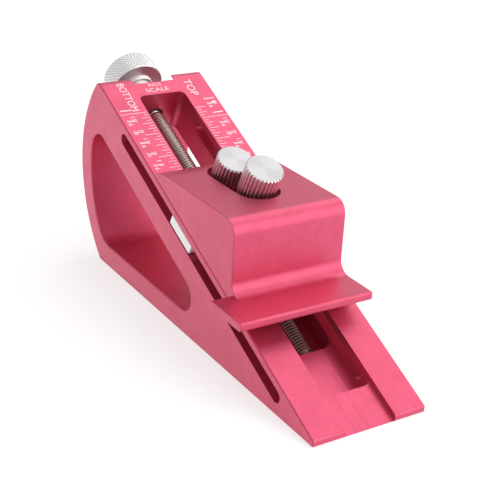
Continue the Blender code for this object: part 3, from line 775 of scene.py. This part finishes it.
def small_knob(name, axis, body, node):
    """Ribbed knob about its own stud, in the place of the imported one."""
    top = top_of(node)
    low = top - SMALL_HEIGHT
    radius = SMALL_RADIUS
    bore_top = low + BORE_DEPTH
    profile = [(0, top), (radius - RIB_DEPTH - TOP_MARGIN, top), (radius - TOP_EDGE, top),
               (radius, top - TOP_EDGE), (radius, low + TOP_EDGE), (radius - TOP_EDGE, low),
               (BORE_RADIUS, low), (BORE_RADIUS, bore_top), (0, bore_top)]
    shape = spun(profile, RIBS * SPANS_A_RIB)
    map_turning(shape)
    # How deep each point lies between the ribs, which darkens it as painted shade.
    groove_shade = shape.verts.layers.float.new("groove_shade")
    for vert in shape.verts:
        if reach_of(vert) < radius - SKIN:
            continue
        place = 1 - ridge(turn_of(vert, RIBS))
        sunk = max(0.0, (place - RIB_WIDTH) / (1 - RIB_WIDTH)) ** RIB_ROUND
        vert[groove_shade] = min(1.0, GROOVE_SHADE * sunk)
        sink(vert, RIB_DEPTH * sunk)
    for face in shape.faces:
        if face.normal.z > 0.9 and face.calc_center_median().z > top - SKIN:
            face.material_index = 1
    shape.transform(axis)
    put(shape, name, body, [ribbed_steel, turned_steel], [node], smooth=35)


small_knob("lock_knob_ribbed", LOCK, "lock", "lock_knob")
small_knob("release_knob_ribbed", RELEASE, "release", "release_knob")

# %% [markdown]
# The scales are cut white by laser, in 1/64 inch steps of height. The slope stretches each step by one
# over the sine of its angle. The left scale reads the height of the ledge's underside and the right one
# that of its top, so the right one starts lower by the ledge's thickness. Each mark is a thin solid set
# into the surface.

# %% Scale marks
INCH = 25.4 * MM
STEP = INCH / 64
MARK_LIFT = 0.012 * MM
MARK_SINK = 0.03 * MM
TICK_WIDTH = 0.15 * MM
INDEX_ALONG = 73.14 * MM
LEDGE_BOTTOM_HEIGHT = 16.45 * MM
LEDGE_TOP_HEIGHT = 18.30 * MM
SCALE_START = 6.6 * MM
TICK_ENDS = {1: 7.75 * MM, 2: 8.65 * MM, 4: 9.2 * MM, 8: 10.3 * MM, 64: 13.6 * MM}

engraving, nodes, links, shader = new_material("laser_white")
shader.inputs["Base Color"].default_value = (0.95, 0.78, 0.81, 1)
whiteness = noise_of(nodes, links, object_place(nodes, links), 3000)
links.new(ranged(nodes, links, whiteness, 0.5, 0.8), shader.inputs["Roughness"])


def tick_end(step):
    """Where a tick ends: quarters, halves and whole inches reach furthest from the channel."""
    return max(reach for every, reach in TICK_ENDS.items() if step % every == 0)


def scale_ticks(name, side, zero_height, first, last):
    """One scale's ticks. side is -1 on the left."""
    shape = bmesh.new()
    for step in range(first, last + 1):
        along = INDEX_ALONG + (step * STEP - zero_height) / sin(SLOPE)
        end = tick_end(step)
        middle = side * (SCALE_START + end) / 2
        size = (end - SCALE_START, TICK_WIDTH, MARK_LIFT + MARK_SINK)
        place = Matrix.Translation((middle, along, (MARK_LIFT - MARK_SINK) / 2)) @ Matrix.Diagonal((*size, 1))
        bmesh.ops.create_cube(shape, size=1, matrix=DECK @ place)
    put(shape, name, "base", [engraving], [])


scale_ticks("left_scale_ticks", -1, LEDGE_BOTTOM_HEIGHT, 1, 64)
scale_ticks("right_scale_ticks", 1, LEDGE_TOP_HEIGHT, 5, 68)

# %% [markdown]
# The figures are text made solid. Each word is measured first and then stretched to the length and the
# height that it has on the real scale, so the font matters little.

# %% Lettering tools


def lettering(words, length, height, across, along, turn=-90):
    """Mesh of a word lying on the slope, centred at a spot, stretched to a length and a height."""
    data = bpy.data.curves.new("word", "FONT")
    data.body = words
    data.size = MM
    data.extrude = (MARK_LIFT + MARK_SINK) / 2
    data.resolution_u = 3
    text = bpy.data.objects.new("word", data)
    scene.collection.objects.link(text)
    bpy.context.view_layer.update()
    mesh = bpy.data.meshes.new_from_object(text.evaluated_get(bpy.context.evaluated_depsgraph_get()))
    bpy.data.objects.remove(text, do_unlink=True)
    left, right = (end(vert.co.x for vert in mesh.vertices) for end in (min, max))
    low, high = (end(vert.co.y for vert in mesh.vertices) for end in (min, max))
    centred = Matrix.Translation((-(left + right) / 2, -(low + high) / 2, 0))
    stretched = Matrix.Diagonal((length / (right - left), height / (high - low), 1, 1))
    place = Matrix.Translation((across, along, (MARK_LIFT - MARK_SINK) / 2))
    mesh.transform(DECK @ place @ Matrix.Rotation(radians(turn), 4, "Z") @ stretched @ centred)
    return mesh


def gather(name, meshes):
    """One piece of many words."""
    shape = bmesh.new()
    for mesh in meshes:
        shape.from_mesh(mesh)
        bpy.data.meshes.remove(mesh)
    bmesh.ops.remove_doubles(shape, verts=shape.verts, dist=WELD / 4)
    put(shape, name, "base", [engraving], [])


# %% [markdown]
# The figures read down the slope. A fraction is set on the slant: top figure raised, a stroke, bottom
# figure lowered. Past one inch a tall whole figure stands above the fraction.

# %% Scale figures
FIGURE_HEIGHT = 1.15 * MM
FIGURE_WIDTH = 0.72 * MM
FIGURE_SLANT = 0.72 * MM
STROKE_LENGTH = 0.9 * MM
STROKE_HEIGHT = 2.5 * MM
WHOLE_HEIGHT = 2.9 * MM
WHOLE_WIDTH = 1.2 * MM
ONE_WIDTH = 0.34 * MM
WHOLE_BEFORE = 1.35 * MM
FRACTION_AFTER = 0.45 * MM
FIGURE_ACROSS = 11.5 * MM
FIGURE_UP = 1.27 * MM


def whole_figure(number, across, along):
    """Tall whole inch. A 1 is only a stroke wide."""
    width = ONE_WIDTH if number == 1 else WHOLE_WIDTH
    return lettering(str(number), width, WHOLE_HEIGHT, across, along)


def figure(step, across, along):
    """Sixteenths as a whole number, a fraction, or both."""
    whole, part = divmod(step, 16)
    below = 16
    while part and part % 2 == 0:
        part, below = part // 2, below // 2
    if part == 0:
        return [whole_figure(whole, across, along)]
    made = []
    if whole:
        made.append(whole_figure(whole, across, along + WHOLE_BEFORE))
        along -= FRACTION_AFTER
    top, bottom = str(part), str(below)
    top_length, bottom_length = FIGURE_WIDTH * len(top), FIGURE_WIDTH * len(bottom)
    made.append(lettering(top, top_length, FIGURE_HEIGHT, across + FIGURE_SLANT, along + top_length / 2))
    made.append(lettering("/", STROKE_LENGTH, STROKE_HEIGHT, across, along))
    made.append(lettering(bottom, bottom_length, FIGURE_HEIGHT, across - FIGURE_SLANT,
                          along - bottom_length / 2))
    return made


def scale_figures(name, side, zero_height, first, last):
    """One scale's figures, a sixteenth apart. side is -1 on the left."""
    meshes = []
    for step in range(first, last + 1):
        along = INDEX_ALONG + (step * INCH / 16 - zero_height) / sin(SLOPE) + FIGURE_UP
        meshes += figure(step, side * FIGURE_ACROSS, along)
    gather(name, meshes)


scale_figures("left_scale_figures", -1, LEDGE_BOTTOM_HEIGHT, 1, 16)
scale_figures("right_scale_figures", 1, LEDGE_TOP_HEIGHT, 2, 17)

# %% [markdown]
# The words say which side of the ledge a scale reads, its bottom or its top, and that the scale is in
# inches. Two of them run down the slope like the figures, and the two over the channel run across it.

# %% Scale words
gather("scale_words", [lettering("BOTTOM", 9.9 * MM, 1.95 * MM, -9.0 * MM, 100.1 * MM),
                       lettering("TOP", 5.9 * MM, 2.1 * MM, 8.7 * MM, 100.9 * MM),
                       lettering("INCH", 3.4 * MM, 1.15 * MM, -0.3 * MM, 103.4 * MM, turn=0),
                       lettering("SCALE", 6.2 * MM, 1.3 * MM, -0.3 * MM, 101.6 * MM, turn=0)])

# %% [markdown]
# What is left are small bare parts, most of them inside. They keep their imported shape, with merged faces
# and their own metal, except the bush, whose dark steel is painted shade for the dark hole round the screw.

# %% Small parts
SMALL_PARTS = {
    "clamp_plate": ("clamp", ground_steel, "bright_steel"),
    "half_nut": ("nut", bronze, "bronze"),
    # The bush is dark steel as painted shade: the hole round the screw's high end is in shade there.
    "screw_bush": ("base", dark_steel, "dark_steel"),
    "thrust_washer": ("base", ground_steel, "steel"),
    "outer_washer": ("screw", ground_steel, "steel"),
    "wave_washer": ("base", spring_steel, "spring_steel"),
    "clamp_spring": ("slider", spring_steel, "spring_steel"),
    "lock_washer": ("slider", ground_steel, "steel"),
    "release_washer": ("slider", ground_steel, "steel"),
    "release_clip": ("release", spring_steel, "spring_steel"),
    "lock_stud": ("lock", dark_steel, "dark_steel"),
    "release_stud": ("release", dark_steel, "dark_steel"),
    "knob_set_screw": ("screw", dark_steel, "dark_steel"),
    "nut_guide_pin_left": ("slider", ground_steel, "steel"),
    "nut_guide_pin_right": ("slider", ground_steel, "steel"),
}
for node, (body, material, slot) in SMALL_PARTS.items():
    put(merged_copy(node), node + "_piece", body, [material], [node], smooth=35)
